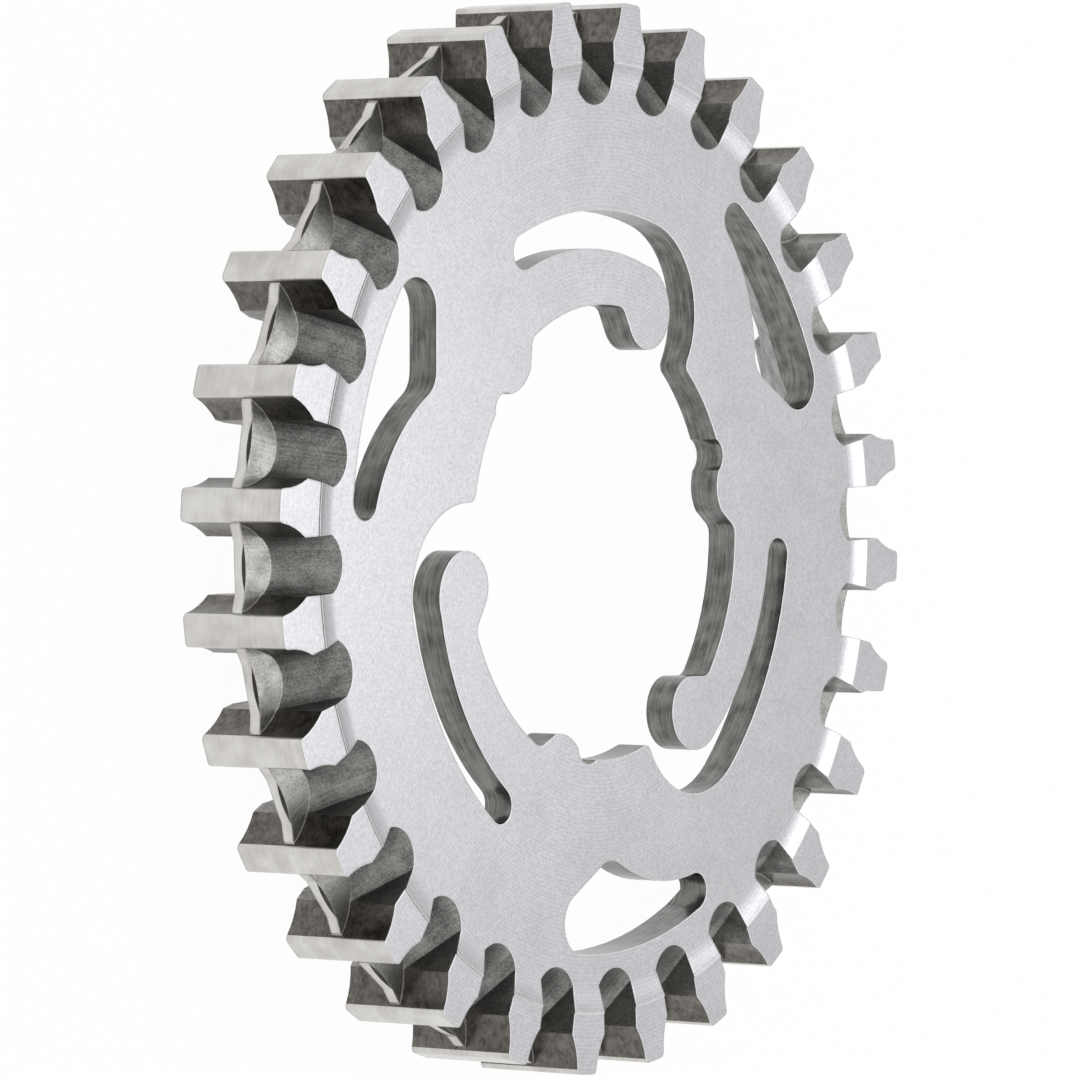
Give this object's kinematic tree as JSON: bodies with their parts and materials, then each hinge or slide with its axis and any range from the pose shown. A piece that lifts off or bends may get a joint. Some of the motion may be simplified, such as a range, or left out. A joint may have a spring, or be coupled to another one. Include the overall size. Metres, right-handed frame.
{
  "type": "belt drive sprocket",
  "caption": "Rear belt sprocket: toothed rim with a centre fin and mud ports, windowed disc, and a bore with lugs and sprung arms.",
  "frame": {"origin": "on the wheel's axis, at the rear ends of the teeth", "axes": "+Z along the wheel's axis, out of the machined front; +Y towards the middle of a tooth"},
  "size_m": [0.0964, 0.0964, 0.0108],
  "materials": {
    "stainless_steel": "bead-blasted casting, fine-turned front"
  },
  "bodies": {
    "root": {"belt_sprocket": "stainless_steel"}
  },
  "joints": []
}
